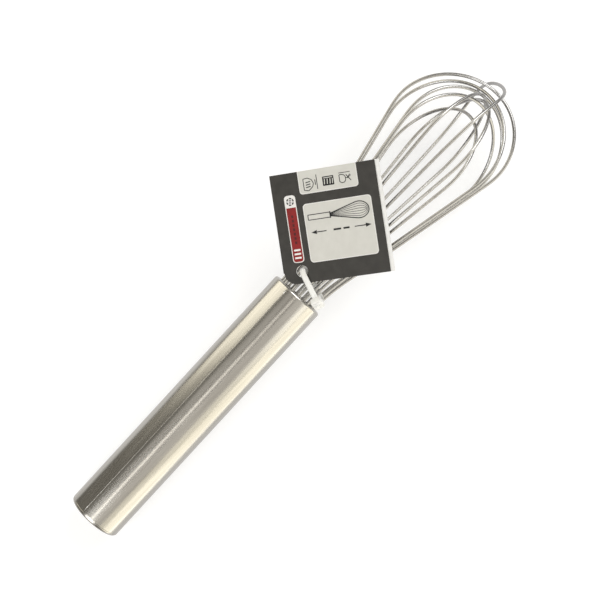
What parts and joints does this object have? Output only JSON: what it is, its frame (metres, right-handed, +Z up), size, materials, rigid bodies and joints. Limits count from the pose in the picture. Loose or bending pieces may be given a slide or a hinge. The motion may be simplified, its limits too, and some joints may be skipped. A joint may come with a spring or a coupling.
{
  "type": "balloon whisk",
  "caption": "Kitchen balloon whisk with a tubular steel handle, nested spring-wire loops and a square hang tag on a cable tie.",
  "frame": {"origin": "centre of the footprint, on the table the whisk lies on", "axes": "+X along the whisk from the butt of the handle to the balloon, +Z up from the table, +Y to the left seen from the butt"},
  "size_m": [0.2508, 0.0686, 0.0546],
  "materials": {
    "handle_steel": "brushed along the handle",
    "wire_steel": "drawn and electropolished spring wire",
    "seal_resin": "cast epoxy",
    "anchor_plastic": "moulded",
    "tie_nylon": "moulded natural nylon",
    "tag_card": "printed card, satin"
  },
  "bodies": {
    "whisk": {"handle_tube": "handle_steel", "handle_end_cap": "handle_steel", "wire_seal": "seal_resin", "wire_anchor": "anchor_plastic", "wire_loop_1": "wire_steel", "wire_loop_2": "wire_steel", "wire_loop_3": "wire_steel", "wire_loop_4": "wire_steel", "wire_loop_5": "wire_steel", "wire_loop_6": "wire_steel", "wire_loop_7": "wire_steel", "wire_loop_8": "wire_steel"},
    "tie": {"cable_tie": "tie_nylon"},
    "tag": {"hang_tag": "tag_card"}
  },
  "joints": [
    {"name": "tie_slide", "type": "slide", "parent": "whisk", "child": "tie", "axis": [0.9854, 0.0032, 0.1702], "range_m": [0, 0.004]},
    {"name": "tag_swivel", "type": "hinge", "parent": "tie", "child": "tag", "pos_m": [0.01153, -0.00184, 0.03383], "axis": [-0.2756, 0.0307, 0.9608], "range_deg": [-30, 40]}
  ]
}
